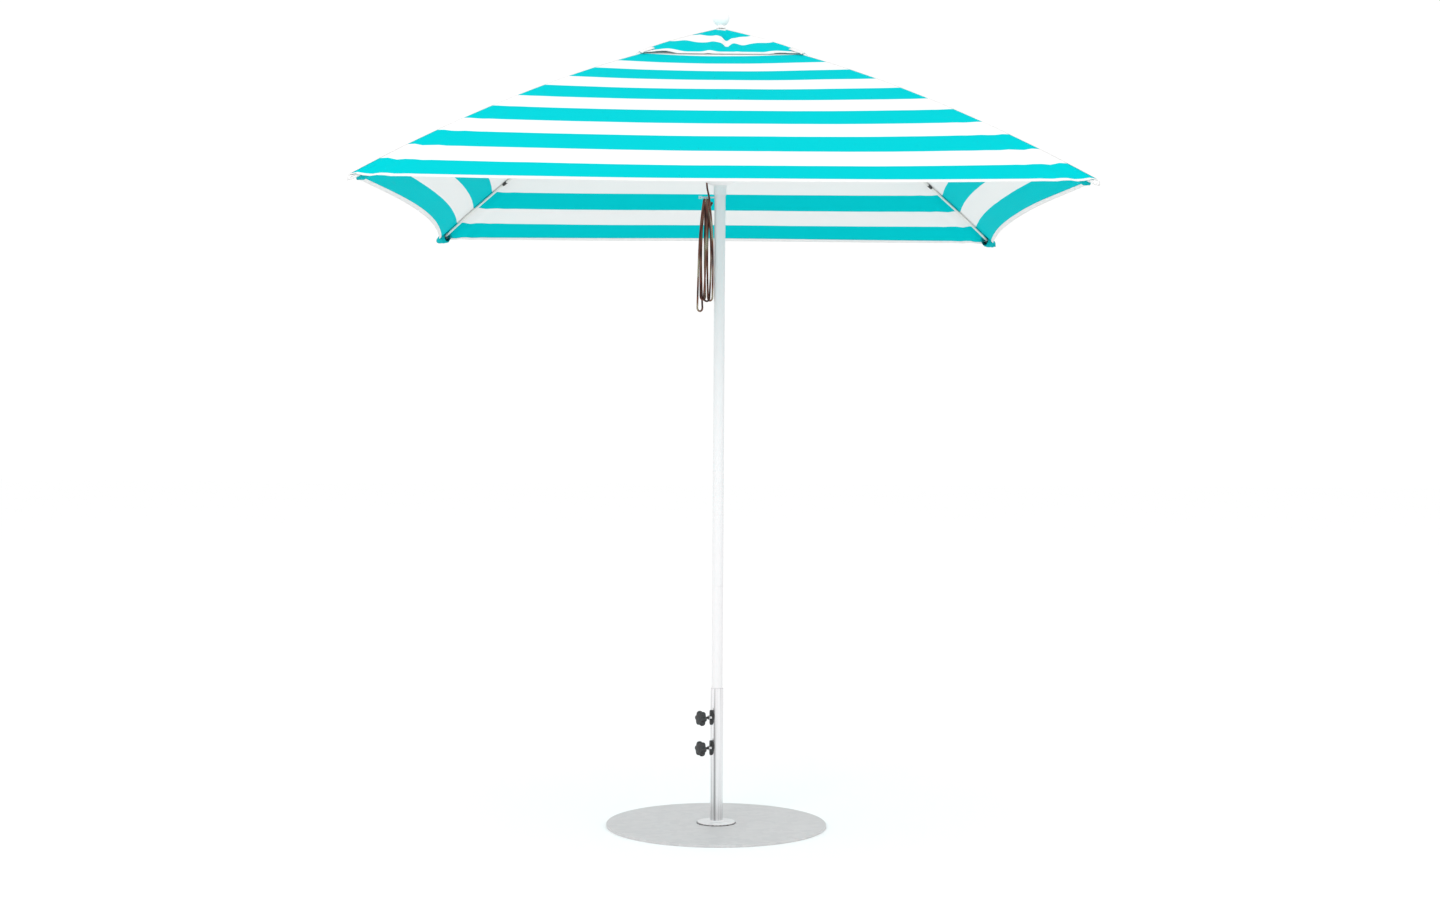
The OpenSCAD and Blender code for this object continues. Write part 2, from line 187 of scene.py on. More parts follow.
def tube(name, points, radius, material, sides=10):
    """A capped round tube along points, with UVs in metres along and turns around."""
    verts, uvs = [], []
    run = 0.0
    for i, (p, (side, up)) in enumerate(zip(points, frames_along(points))):
        if i:
            run += (p - points[i - 1]).length
        for k in range(sides + 1):
            a = 2 * math.pi * k / sides
            verts.append(p + side * (radius * math.cos(a)) + up * (radius * math.sin(a)))
            uvs.append((run, k / sides))
    faces = grid_faces(len(points), sides + 1)
    faces.append(tuple(range(sides)))
    last = (len(points) - 1) * (sides + 1)
    faces.append(tuple(last + k for k in reversed(range(sides))))
    return add_object(name, verts, faces, material, uvs)


def smooth_path(points, step):
    """Points about step apart on a Catmull-Rom curve through the given points."""
    found = []
    for i in range(len(points) - 1):
        a = points[max(i - 1, 0)]
        b, c = points[i], points[i + 1]
        d = points[min(i + 2, len(points) - 1)]
        count = max(2, int((c - b).length / step))
        for k in range(count):
            t = k / count
            squared = (2 * a - 5 * b + 4 * c - d) * t * t
            cubed = (3 * b - a - 3 * c + d) * t**3
            found.append(0.5 * ((2 * b) + (c - a) * t + squared + cubed))
    found.append(points[-1])
    return found


def lathe(name, profile, material, sides, axis, centre, wobble):
    """Turns (radius, height) pairs about an axis. wobble(angle, i) scales the radius of pair i."""
    turn = Vector((0, 0, 1)).rotation_difference(axis)
    verts, uvs = [], []
    for i, (r, h) in enumerate(profile):
        for k in range(sides + 1):
            a = 2 * math.pi * k / sides
            q = r * wobble(a, i)
            verts.append(centre + turn @ Vector((q * math.cos(a), q * math.sin(a), h)))
            uvs.append((a * max(r, 0.01), h))
    return add_object(name, verts, grid_faces(len(profile), sides + 1), material, uvs)


# ---------------------------------------------------------------- materials


class Shader:
    """A Principled material with short calls for adding and joining nodes."""

    def __init__(self, name, colour, roughness, metallic=0.0, **constants):
        self.material = bpy.data.materials.new(name)
        self.material.use_nodes = True
        self.tree = self.material.node_tree
        self.surface = self.tree.nodes["Principled BSDF"]
        self.surface.inputs["Base Color"].default_value = (*colour, 1)
        self.surface.inputs["Roughness"].default_value = roughness
        self.surface.inputs["Metallic"].default_value = metallic
        for socket, value in constants.items():
            self.surface.inputs[socket.replace("_", " ")].default_value = value

    def join(self, source, target):
        self.tree.links.new(source, target)

    def node(self, kind, **settings):
        made = self.tree.nodes.new("ShaderNode" + kind)
        for key, value in settings.items():
            setattr(made, key, value)
        return made

    def maths(self, operation, a, b=None, clamp=False):
        made = self.node("Math", operation=operation, use_clamp=clamp)
        for i, value in enumerate((a, b)):
            if value is None:
                continue
            if isinstance(value, (int, float)):
                made.inputs[i].default_value = value
            else:
                self.join(value, made.inputs[i])
        return made.outputs[0]

    def coordinates(self, kind="Object", scale=(1, 1, 1)):
        if kind == "UV":
            source = self.node("UVMap").outputs[0]
        else:
            source = self.node("TexCoord").outputs[kind]
        mapping = self.node("Mapping")
        mapping.inputs["Scale"].default_value = scale
        self.join(source, mapping.inputs["Vector"])
        return mapping.outputs[0]

    def noise(self, where, scale, detail=3.0, roughness=0.5):
        made = self.node("TexNoise")
        made.inputs["Scale"].default_value = scale
        made.inputs["Detail"].default_value = detail
        made.inputs["Roughness"].default_value = roughness
        self.join(where, made.inputs["Vector"])
        return made.outputs["Fac"]

    def ramp(self, value, stops):
        made = self.node("ValToRGB")
        ramp = made.color_ramp
        while len(ramp.elements) < len(stops):
            ramp.elements.new(0.5)
        for element, (place, colour) in zip(ramp.elements, stops):
            element.position = place
            element.color = (*colour, 1)
        self.join(value, made.inputs["Fac"])
        return made.outputs["Color"]

    def blend(self, share, a, b):
        made = self.node("Mix", data_type="RGBA")
        for value, socket in ((share, made.inputs[0]), (a, made.inputs[6]), (b, made.inputs[7])):
            if isinstance(value, tuple):
                socket.default_value = (*value, 1)
            elif isinstance(value, (int, float)):
                socket.default_value = value
            else:
                self.join(value, socket)
        return made.outputs[2]

    def range(self, value, low, high):
        made = self.node("MapRange")
        made.inputs["To Min"].default_value = low
        made.inputs["To Max"].default_value = high
        self.join(value, made.inputs["Value"])
        return made.outputs["Result"]

    def colour(self, value):
        self.join(value, self.surface.inputs["Base Color"])

    def rough(self, value):
        self.join(value, self.surface.inputs["Roughness"])

    def bump(self, height, strength, distance):
        made = self.node("Bump")
        made.inputs["Strength"].default_value = strength
        made.inputs["Distance"].default_value = distance
        self.join(height, made.inputs["Height"])
        self.join(made.outputs[0], self.surface.inputs["Normal"])


def weave_height(shader, where):
    """A plain weave: threads over and under in both directions."""
    parts = shader.node("SeparateXYZ")
    shader.join(where, parts.inputs[0])
    across = shader.maths("SINE", shader.maths("MULTIPLY", parts.outputs[0], 2 * math.pi / WEAVE_PITCH))
    along = shader.maths("SINE", shader.maths("MULTIPLY", parts.outputs[1], 2 * math.pi / WEAVE_PITCH))
    return shader.maths("MULTIPLY", across, along)


TURQUOISE = (0.0, 0.590, 0.630)
TURQUOISE_DEEP = (0.0, 0.540, 0.580)
TURQUOISE_SLUB = (0.0, 0.47, 0.52)
WHITE = (0.87, 0.87, 0.865)
WHITE_SOILED = (0.83, 0.835, 0.83)


def striped_cloth(name):
    """UV u runs across the cloth in metres; UV v counts stripes from one lower edge to the next."""
    made = Shader(name, WHITE, 0.85, Sheen_Weight=0.0, Specular_IOR_Level=0.02)
    parts = made.node("SeparateXYZ")
    made.join(made.coordinates("UV"), parts.inputs[0])
    place = made.coordinates()
    ripple = made.maths("MULTIPLY", made.maths("SUBTRACT", made.noise(place, 9.0, 2.0), 0.5), 0.012)
    count = made.maths("ADD", parts.outputs[1], ripple)
    part = made.maths("FRACT", made.maths("SUBTRACT", 40.0 + STRIPE_LOW, count))
    near = made.maths("SUBTRACT", STRIPE_SHARE, part)
    upper_edge = made.maths("ADD", made.maths("MULTIPLY", near, STRIPE_EDGE), 0.5, clamp=True)
    lower_edge = made.maths("MULTIPLY", part, STRIPE_EDGE, clamp=True)
    mask = made.maths("MULTIPLY", upper_edge, lower_edge)
    fade = made.noise(place, 2.3, 4.0)
    slub = made.noise(made.coordinates("Object", (2, 2, 60)), 30.0, 2.0)
    blue = made.blend(fade, TURQUOISE_DEEP, TURQUOISE)
    blue = made.blend(made.maths("MULTIPLY", slub, 0.15), blue, TURQUOISE_SLUB)
    pale = made.blend(made.maths("MULTIPLY", fade, 0.35), WHITE, WHITE_SOILED)
    made.colour(made.blend(mask, pale, blue))
    weave = made.maths("MULTIPLY", weave_height(made, place), 0.3)
    crease = made.maths("MULTIPLY", made.noise(place, 14.0, 3.0), 1.4)
    made.bump(made.maths("ADD", weave, crease), 0.35, 0.0012)
    made.rough(made.range(fade, 0.76, 0.88))
    return made.material


def plain_cloth(name, colour, darker):
    """Binding and pocket cloth: one colour, slightly uneven, in the same weave."""
    made = Shader(name, colour, 0.85, Sheen_Weight=0.02, Specular_IOR_Level=0.08)
    place = made.coordinates()
    made.colour(made.blend(made.noise(place, 12.0), colour, darker))
    weave = weave_height(made, place)
    made.bump(made.maths("ADD", weave, made.noise(place, 60.0)), 0.4, 0.0008)
    return made.material


def rope_fibre():
    """Braided cord: two crossing spirals of strands, with painted shade darkening the grooves between them,
    flecked with tan.
    """
    strand_pitch = 0.0065
    made = Shader("rope_braid", (0.2, 0.1, 0.06), 0.8, Sheen_Weight=0.2, Specular_IOR_Level=0.3)
    parts = made.node("SeparateXYZ")
    made.join(made.coordinates("UV"), parts.inputs[0])
    along = made.maths("MULTIPLY", parts.outputs[0], 2 * math.pi / strand_pitch)
    turn = made.maths("MULTIPLY", parts.outputs[1], 2 * math.pi * 2)
    left = made.maths("SINE", made.maths("ADD", along, turn))
    right = made.maths("SINE", made.maths("SUBTRACT", along, turn))
    braid = made.maths("MAXIMUM", left, right)
    lift = made.range(braid, 0.0, 1.0)
    patch = made.noise(made.coordinates("UV", (1, 0, 0)), 9.0, 2.0)
    flecks = [
        (0.42, (0.045, 0.010, 0.006)),
        (0.48, (0.200, 0.052, 0.032)),
        (0.54, (0.300, 0.150, 0.095)),
        (0.61, (0.520, 0.430, 0.310)),
    ]
    strand = made.ramp(patch, flecks)
    # Painted shade: the grooves between strands are darkened towards near-black brown, standing in for the
    # shadow between them.
    groove_shade = made.maths("MULTIPLY", made.maths("SUBTRACT", 1.0, lift), 0.7)
    made.colour(made.blend(groove_shade, strand, (0.060, 0.020, 0.012)))
    fuzz = made.maths("MULTIPLY", made.noise(made.coordinates(), 900.0), 0.25)
    made.bump(made.maths("ADD", lift, fuzz), 0.8, 0.0009)
    return made.material


def painted(name, colour, grime=0.06):
    """Powder coat: fine orange peel, faint handling marks and slightly uneven gloss."""
    made = Shader(name, colour, 0.34, Specular_IOR_Level=0.45, Coat_Weight=0.12, Coat_Roughness=0.2)
    place = made.coordinates()
    marks = made.noise(made.coordinates("Object", (1, 1, 0.25)), 26.0, 5.0, 0.6)
    dulled = tuple(c * 0.86 for c in colour)
    made.colour(made.blend(made.maths("MULTIPLY", marks, grime * 4), colour, dulled))
    made.rough(made.range(marks, 0.27, 0.44))
    made.bump(made.noise(place, 700.0, 2.0), 0.12, 0.0004)
    return made.material


def moulded(name, colour, roughness):
    """Moulded plastic with a fine spark-eroded grain and worn, slightly paler patches."""
    made = Shader(name, colour, roughness, Specular_IOR_Level=0.45)
    place = made.coordinates()
    wear = made.noise(place, 45.0, 4.0, 0.6)
    paler = tuple(min(1.0, c * 1.12 + 0.012) for c in colour)
    made.colour(made.blend(wear, colour, paler))
    made.rough(made.range(wear, roughness - 0.07, roughness + 0.1))
    made.bump(made.noise(place, 900.0, 2.0), 0.2, 0.0004)
    return made.material


def galvanised(name, light, dark):
    """Hot-dip zinc: overlapping spangles, cloudy oxide and a few scuffs."""
    made = Shader(name, light, 0.45, 0.3, Specular_IOR_Level=0.4)
    place = made.coordinates()
    warp = made.node("VectorMath", operation="ADD")
    drift = made.node("TexNoise")
    drift.inputs["Scale"].default_value = 12.0
    made.join(place, drift.inputs["Vector"])
    scaled = made.node("VectorMath", operation="SCALE")
    scaled.inputs["Scale"].default_value = 0.03
    made.join(drift.outputs["Color"], scaled.inputs[0])
    made.join(place, warp.inputs[0])
    made.join(scaled.outputs[0], warp.inputs[1])
    cells = made.node("TexVoronoi", feature="F1")
    cells.inputs["Scale"].default_value = 38.0
    made.join(warp.outputs[0], cells.inputs["Vector"])
    tone = made.node("SeparateColor")
    made.join(cells.outputs["Color"], tone.inputs[0])
    spangle = made.maths("MULTIPLY", tone.outputs[0], 0.45)
    oxide = made.maths("MULTIPLY", made.noise(place, 5.0, 5.0, 0.6), 0.65)
    mixed = made.maths("ADD", spangle, oxide)
    middle = tuple((a + b) / 2 for a, b in zip(light, dark))
    made.colour(made.ramp(mixed, [(0.22, dark), (0.5, middle), (0.8, light)]))
    made.rough(made.range(mixed, 0.36, 0.56))
    scuffs = made.noise(made.coordinates("Object", (1, 9, 1)), 90.0, 4.0, 0.7)
    made.bump(made.maths("ADD", tone.outputs[1], scuffs), 0.15, 0.0005)
    return made.material


def drawn_steel(name, colour, roughness, stretch=(1, 1, 0.02)):
    """Drawn or turned steel: fine lines one way, small scratches the other, and long dark and bright streaks
    along the lines that are painted reflections.
    """
    made = Shader(name, colour, roughness, 1.0)
    lines = made.noise(made.coordinates("Object", stretch), 900.0, 2.0)
    cloud = made.noise(made.coordinates(), 14.0, 4.0)
    # Painted reflection: long dark and bright streaks in the base colour stand in for the polished steel's
    # reflections.
    reflection_streak = made.noise(made.coordinates("Object", tuple(0.3 * c for c in stretch)), 330.0, 1.0)
    dark = tuple(c * 0.45 for c in colour)
    bright = tuple(min(1.0, c * 1.12) for c in colour)
    made.colour(made.ramp(reflection_streak, [(0.34, dark), (0.48, colour), (0.70, bright)]))
    wear = made.maths("ADD", made.maths("MULTIPLY", lines, 0.5), made.maths("MULTIPLY", cloud, 0.5))
    made.rough(made.range(wear, roughness - 0.08, roughness + 0.14))
    made.bump(lines, 0.1, 0.0003)
    return made.material


def glass_rod():
    """White fibreglass: a glossy resin skin over faint fibres that run along the rod."""
    made = Shader("fibreglass", (0.80, 0.80, 0.78), 0.3, Coat_Weight=0.3, Coat_Roughness=0.15)
    fibres = made.noise(made.coordinates(), 420.0, 3.0)
    made.colour(made.blend(fibres, (0.82, 0.82, 0.80), (0.68, 0.68, 0.65)))
    made.bump(fibres, 0.12, 0.0003)
    return made.material


canopy_cloth = striped_cloth("canopy_stripes")
binding_cloth = plain_cloth("binding_white", (0.88, 0.88, 0.875), (0.83, 0.83, 0.825))
pocket_cloth = plain_cloth("pocket_turquoise", (0.0, 0.50, 0.53), (0.0, 0.40, 0.44))
rope_material = rope_fibre()
pole_paint = painted("pole_coat", (0.79, 0.77, 0.775))
strut_paint = painted("strut_coat", (0.84, 0.84, 0.83), 0.1)
white_plastic = moulded("white_moulding", (0.74, 0.735, 0.735), 0.42)
finial_plastic = moulded("finial_moulding", (0.88, 0.86, 0.86), 0.5)
black_plastic = moulded("black_moulding", (0.018, 0.018, 0.019), 0.42)
plate_zinc = galvanised("plate_zinc", (0.62, 0.605, 0.605), (0.53, 0.52, 0.525))
flange_zinc = galvanised("flange_zinc", (0.80, 0.79, 0.79), (0.66, 0.65, 0.66))
# The weld's dark steel is partly painted shade: it also stands for the shadow under the flange's edge.
weld_and_edge_shade = drawn_steel("weld_and_edge_shade", (0.22, 0.21, 0.21), 0.45, (1, 1, 1))
stem_steel = drawn_steel("stem_steel", (0.74, 0.73, 0.74), 0.20)
pin_steel = drawn_steel("pin_steel", (0.74, 0.74, 0.76), 0.28, (0.05, 1, 1))
black_steel = drawn_steel("black_steel", (0.05, 0.05, 0.05), 0.4, (1, 1, 1))
sleeve_metal = drawn_steel("sleeve_metal", (0.72, 0.73, 0.74), 0.32)
fibreglass = glass_rod()

FINISHES = {
    "base_plate": plate_zinc, "base_flange": flange_zinc, "stem_tube": stem_steel,
    "insert": black_plastic, "knob": black_plastic, "stud": black_steel, "foot_plug": white_plastic,
    "lower_pole": pole_paint, "upper_pole": pole_paint, "joint_sleeve": sleeve_metal,
    "hub": white_plastic, "hub_pins": pin_steel, "sheave_axle": pin_steel, "hub_sheave": pin_steel,
    "finial_stud": pin_steel, "vent_spacer": white_plastic, "finial": finial_plastic,
    "runner": white_plastic, "runner_pins": pin_steel, "locking_pin": pin_steel,
    "lift_line": rope_material, "rope_tail": rope_material, "rope_hank": rope_material,
    "rib_rod": fibreglass, "rib_root": white_plastic, "rib_bracket": black_plastic,
    "rib_clip": black_plastic, "rib_tip": black_plastic, "strut": strut_paint,
    "canopy": canopy_cloth, "vent": canopy_cloth,
}

for name, node in nodes.items():
    found = [key for key in FINISHES if name == key or name.startswith(key + "_")]
    finish = FINISHES[max(found, key=len)]
    node.data.materials.clear()
    node.data.materials.append(finish)

# ---------------------------------------------------------------- rope


def drop(bottom, top, low, high, sway):
    """One run of the hank, from its neck down: bottom and top are (x, y), low and high their heights."""
    points = []
    for t in (0.98, 0.93, 0.80, 0.62, 0.42, 0.22, 0.08, 0.02):
        lean = 1 - t**3.4  # the runs stay together near the neck and part lower down
        x = top[0] + (bottom[0] - top[0]) * lean + sway * math.sin(math.pi * t)
        y = top[1] + (bottom[1] - top[1]) * lean
        points.append(Vector((x, y, low + (high - low) * t)))
    return points


def half_ring(start, end, height, sign, count=7):
    """Points on a half circle from start to end, both (x, y), rising above height or hanging below it."""
    a, b = Vector((*start, height)), Vector((*end, height))
    middle, reach = (a + b) / 2, (b - a) / 2
    points = []
    for i in range(count):
        turn = math.pi * i / (count - 1)
        points.append(middle - reach * math.cos(turn) + Vector((0, 0, sign * reach.length * math.sin(turn))))
    return points


def hank_route():
    """The free line from the runner, through four hanging loops and over behind their neck to its knot."""
    necks = (-0.0368, -0.0436, -0.0504, -0.0572)
    # Each loop's foot: its front run and its back run as (x, y), its height, and how each run sways.
    feet = (
        ((-0.0245, -0.0110), (-0.0400, 0.0080), 1.834, (0.0015, -0.0030)),
        ((-0.0545, -0.0110), (-0.0345, 0.0035), 1.832, (0.0060, 0.0050)),
        ((-0.0660, -0.0085), (-0.0490, 0.0090), 1.837, (-0.0010, -0.0030)),
        ((-0.0765, -0.0075), (-0.0590, 0.0085), 1.797, (0.0025, -0.0050)),
    )
    points = [
        Vector(LINE_EXIT),
        Vector((-0.0458, -0.0004, 2.2240)),
        Vector((-0.0440, -0.0030, 2.2080)),
        Vector((-0.0405, -0.0080, 2.1920)),
        Vector((-0.0372, -0.0112, 2.1760)),
    ]
    for j, (x, (here, there, low, sways)) in enumerate(zip(necks, feet)):
        front, back = (x, -NECK_HALF), (x, NECK_HALF)
        points += drop(here, front, low, HANK_TOP, sways[0])
        points += half_ring(here, there, low, -1)
        points += drop(there, back, low, HANK_TOP, sways[1])[::-1]
        if j < len(feet) - 1:
            points += half_ring(back, (necks[j + 1], -NECK_HALF), HANK_TOP, 1)
    points += half_ring((-0.0572, 0.0125), (-0.0332, 0.0180), HANK_TOP - 0.0015, 1)
    return smooth_path(points, 0.003)


route = hank_route()
rope = tube("rope_line", route, ROPE_D / 2, rope_material)
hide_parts("rope_tail", "rope_hank")
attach(rope, "runner_body")


def knot_points(centre, size):
    """An overhand knot, as a short piece of a trefoil."""
    found = []
    for i in range(64):
        t = 2 * math.pi * i / 63 * 0.97
        x = math.sin(t) + 2 * math.sin(2 * t)
        y = math.cos(t) - 2 * math.cos(2 * t)
        z = -math.sin(3 * t)
        found.append(centre + Vector((x, z * 1.2, y)) * size)
    return found


knot_middle = route[-1] + Vector((0, 0.005, 0))
rope_knot = tube("rope_knot", knot_points(knot_middle, 0.0022), ROPE_D / 2 * 0.95, rope_material)
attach(rope_knot, "runner_body")


def lift_route():
    """The line from the runner up over the sheave and down again."""
    step = 0.004
    count = 112
    arc_steps = 24
    low_z = 2.240
    points = [Vector((SHEAVE_X + SHEAVE_R, 0, low_z + step * i)) for i in range(count)]
    for i in range(1, arc_steps):
        a = math.pi * i / arc_steps
        points.append(Vector((SHEAVE_X + SHEAVE_R * math.cos(a), 0, SHEAVE_Z + SHEAVE_R * math.sin(a))))
    points += [Vector((SHEAVE_X - SHEAVE_R, 0, SHEAVE_Z - step * i)) for i in range(count)]
    return points


lift = tube("lift_rope", lift_route(), LIFT_D / 2, rope_material)
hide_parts("lift_line")
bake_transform(lift)

# ---------------------------------------------------------------- canopy shape


def ridge_z(s):
    return APEX_Z - RIDGE_FALL * s - RIDGE_CURVE * s * s


def panel_dip(s, f):
    """How far a panel sags below the line between its ridges."""
    return PANEL_DIP * s**1.75 * (1 - f * f)


def hem_s(f):
    """How far out the hem is at share f of the way from a panel's middle to its ridge."""
    return HALF_SIDE - HEM_BOW * (1 - f * f)


def quarter_turn(panel):
    return Matrix.Rotation(panel * math.pi / 2, 3, "Z")


def panel_point(panel, s, f, signed):
    """A point of the main canopy. panel turns it by quarter turns from +X; signed is f with its side."""
    calm = 1 - f**4
    place = Vector((s * 2.6 + panel * 7.3, signed * 1.7, 3.1 * panel))
    wave = noise.noise(place) * 0.0032 * calm * min(1, s * 2)
    corner = math.exp(-(((1 - f) * s / 0.10) ** 2)) * math.exp(-(((HALF_SIDE - s) / 0.25) ** 2))
    tug = math.sin((1 - f) * s * 95) * 0.0035 * corner
    z = ridge_z(s) - panel_dip(s, f) + wave + tug + CLOTH_LIFT
    return quarter_turn(panel) @ Vector((s, signed * s, z))


def vent_ridge_z(s):
    return VENT_APEX - VENT_FALL * s - VENT_CURVE * s * s


def vent_hem(f):
    return VENT_HALF - VENT_BOW * (1 - f * f)


def vent_point(panel, s, f, signed):
    """A point of the vent cap, which lies slack between its corners, with folds that run up from its hem."""
    out = s / VENT_HALF
    front = panel == 3
    place = signed if front else -signed
    across = place * s
    sag = 0.010 * out**2
    for centre, width, depth in VENT_FOLDS:
        sag += depth * out**1.3 * math.exp(-(((place - centre) / width) ** 2))
    # One long crease beside the middle, and the cloth leaning to that side of it.
    start = min(1.0, max(0.0, (s - 0.04) / 0.04))
    sag += 0.019 * start * (1 - 0.3 * out) * math.exp(-(((across - 0.018) / 0.014) ** 2))
    sag += 0.2 * max(0.0, across) * max(0.0, 1 - out)
    calm = (1 - f * f) ** 0.8 * (1.0 if front else 0.7)
    z = vent_ridge_z(s) - 0.010 * out**4 - 0.09 * s * s * (1 - f * f) - calm * sag
    if s > VENT_HOLE - 0.01:
        z = max(z, ridge_z(s) - panel_dip(s, f) + 0.0045)
    return quarter_turn(panel) @ Vector((s, signed * s, z + CLOTH_LIFT))


def surface_normal(shape, panel, s, f, signed):
    """The upward normal of a panel, from small steps along it and across it."""
    h = 0.002
    inner, outer = shape(panel, max(s - h, 0.004), f, signed), shape(panel, s + h, f, signed)
    step = min(h / max(s, 0.02), 0.02)
    left, right = signed - step, signed + step
    a = shape(panel, s, min(abs(left), 1), max(min(left, 1), -1))
    b = shape(panel, s, min(abs(right), 1), max(min(right, 1), -1))
    n = (outer - inner).cross(b - a)
    return n.normalized() if n.z > 0 else -n.normalized()


def stripe_count(s, f):
    return 1 + (s - STRIPES_START) / (STRIPE_MIDDLE + (STRIPE_RIDGE - STRIPE_MIDDLE) * f * f)


def vent_count(s, f):
    """Stripes on the vent cap. Its lower stripe ends above the hem."""
    return (s - 0.098) / (0.140 + 0.019 * f * f)


def half_panel(name, shape, panel, side, inner, outer, count, rows, columns):
    """Half of a panel, from its middle to the ridge on one side (+1 or -1)."""
    verts, uvs, normals = [], [], []
    for i in range(rows + 1):
        for k in range(columns + 1):
            f = k / columns
            s = inner + (outer(f) - inner) * i / rows
            verts.append(shape(panel, s, f, side * f))
            normals.append(surface_normal(shape, panel, s, f, side * f))
            uvs.append((side * f * s, count(s, f)))
    faces = grid_faces(rows + 1, columns + 1)
    if side < 0:
        faces = [tuple(reversed(face)) for face in faces]
    return add_object(name, verts, faces, canopy_cloth, uvs, normals)


def band(name, line, inward, widths):
    """A folded strip of binding over a hem: line is the edge, inward the way onto the cloth at each point."""
    thickness = 0.0007
    overhang = 0.0012
    verts = []
    for p, (along, up), width in zip(line, inward, widths):
        edge = p - along * overhang
        middle = p + along * width * 0.5
        inner = p + along * width
        for height, face in ((thickness, (inner, middle, edge)), (-thickness, (edge, middle, inner))):
            for q in face:
                verts.append(q + up * height * (1.3 if q is middle else 1.0))
    return add_object(name, verts, grid_faces(len(line), 6), binding_cloth)


def hem_band(name, shape, panel, side, outer, width, steps):
    """The binding along half of an outer hem, narrowing into the corner."""
    line, inward, widths = [], [], []
    for k in range(steps + 1):
        f = k / steps
        widths.append(width * (1 - 0.75 * f**30))
        s = outer(f)
        p = shape(panel, s, f, side * f)
        inner = shape(panel, s - 0.01, f, side * f)
        line.append(p)
        inward.append(((inner - p).normalized(), surface_normal(shape, panel, s, f, side * f)))
    return band(name, line, inward, widths)


def rim_band(name, panel, side):
    """The binding round half of one side of the canopy's hole."""
    steps = 24
    line, inward = [], []
    for k in range(steps + 1):
        f = k / steps
        p = panel_point(panel, VENT_HOLE, f, side * f)
        outer = panel_point(panel, VENT_HOLE + 0.01, f, side * f)
        line.append(p)
        inward.append(((outer - p).normalized(), surface_normal(panel_point, panel, VENT_HOLE, f, side * f)))
    return band(name, line, inward, [0.012] * len(line))


def rib_z(r):
    """Height of the ribs' centre line at radius r."""
    return RIB_CENTRE[1] + math.sqrt(RIB_BEND**2 - (r - RIB_CENTRE[0]) ** 2)


def gather(piece):
    """Gives a half panel its own copy of its mesh."""
    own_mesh(piece)


for n in range(1, 5):
    for mark, panel, side in (("a", (n - 1) % 4, 1), ("b", n % 4, -1)):
        tag = f"{n}{mark}"
        sheet = half_panel(
            f"canopy_panel_{tag}", panel_point, panel, side, VENT_HOLE, hem_s, stripe_count, 72, 44
        )
        hem = hem_band(f"canopy_hem_{tag}", panel_point, panel, side, hem_s, 0.014, 60)
        rim = rim_band(f"canopy_rim_{tag}", panel, side)
        cap = half_panel(f"vent_panel_{tag}", vent_point, panel, side, 0.009, vent_hem, vent_count, 40, 30)
        cap_hem = hem_band(f"vent_hem_{tag}", vent_point, panel, side, vent_hem, 0.012, 48)
        for piece in (sheet, hem, rim, cap, cap_hem):
            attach(piece, f"rib_{n}")
            gather(piece)
        if mark == "a":
            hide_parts(f"canopy_{n}")
            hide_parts(f"vent_{n}")

# ---------------------------------------------------------------- seams, pockets and tabs on the ribs


def on_rib(n):
    """Turns +X to rib n's direction."""
    return Matrix.Rotation(math.radians(90 * n - 45), 3, "Z")


def seam_strip(name, shape, n, inner, outer, steps):
    """The felled seam that follows a ridge, as a shallow rounded strip over the two panels' edges."""
    width = 0.003
    panel = (n - 1) % 4
    across = on_rib(n) @ Vector((0, 1, 0))
    verts, uvs = [], []
    for i in range(steps + 1):
        s = inner + (outer - inner) * i / steps
        p = shape(panel, s, 1.0, 1.0)
        down = (shape(panel, s, 1 - width / s, 1 - width / s) - p).normalized()
        mirror = down - across * (2 * down.dot(across))
        for way, share in ((down, 1.0), (down, 0.45), (down, 0.0), (mirror, 0.45), (mirror, 1.0)):
            lift = 0.0005 + 0.0006 * (1 - share)
            verts.append(p + way * width * share + Vector((0, 0, lift)))
            uvs.append((share * width, 0))
    return add_object(name, verts, grid_faces(steps + 1, 5), binding_cloth, uvs)


def thicken(piece, thickness):
    """Gives a sheet both faces of a real cloth."""
    shell = piece.modifiers.new("thickness", "SOLIDIFY")
    shell.thickness = thickness


def pocket(name, n, sections, material):
    """The corner pocket: a sewn sleeve round the rib's end. Each section is radius, top and bottom off the
    rib's centre line, and half width."""
    turn = on_rib(n)
    sides = 24
    verts = []
    for i, (r, top, bottom, wide) in enumerate(sections):
        z = rib_z(r)
        for k in range(sides + 1):
            a = 2 * math.pi * k / sides
            c, d = math.cos(a), math.sin(a)
            y = wide * math.copysign(abs(c) ** 0.7, c)
            h = top * d if d > 0 else bottom * abs(d) ** 0.8
            crush = 0.0010 * math.sin(3 * i + 5 * a)
            fall = 0.42 * max(0.0, abs(y) - 0.004) if d > 0 else 0.0
            verts.append(turn @ Vector((r, y + crush, z + h - fall + crush)))
    faces = grid_faces(len(sections), sides + 1)
    last = (len(sections) - 1) * (sides + 1)
    faces.append(tuple(reversed(range(last, last + sides))))
    made = add_object(name, verts, faces, material)
    thicken(made, 0.0008)
    return made


def vent_tab(name, n):
    """The reinforced white corner of the vent cap, turned under at its point."""
    panel = (n - 1) % 4
    start = 0.238
    length = 0.0385
    across = on_rib(n) @ Vector((0, 1, 0))
    verts = []
    for i in range(9):
        s = start + length * i / 8
        p = vent_point(panel, min(s, VENT_HALF), 1.0, 1.0)
        if s > VENT_HALF:
            p += on_rib(n) @ Vector((s - VENT_HALF, 0, -(s - VENT_HALF) * 2))
        w = 0.020 - 0.004 * i / 8
        for k in range(-4, 5):
            y = w * k / 4
            verts.append(p + across * y + Vector((0, 0, 0.0022 - 0.42 * abs(y))))
    made = add_object(name, verts, grid_faces(9, 9), binding_cloth)
    thicken(made, 0.0012)
    return made


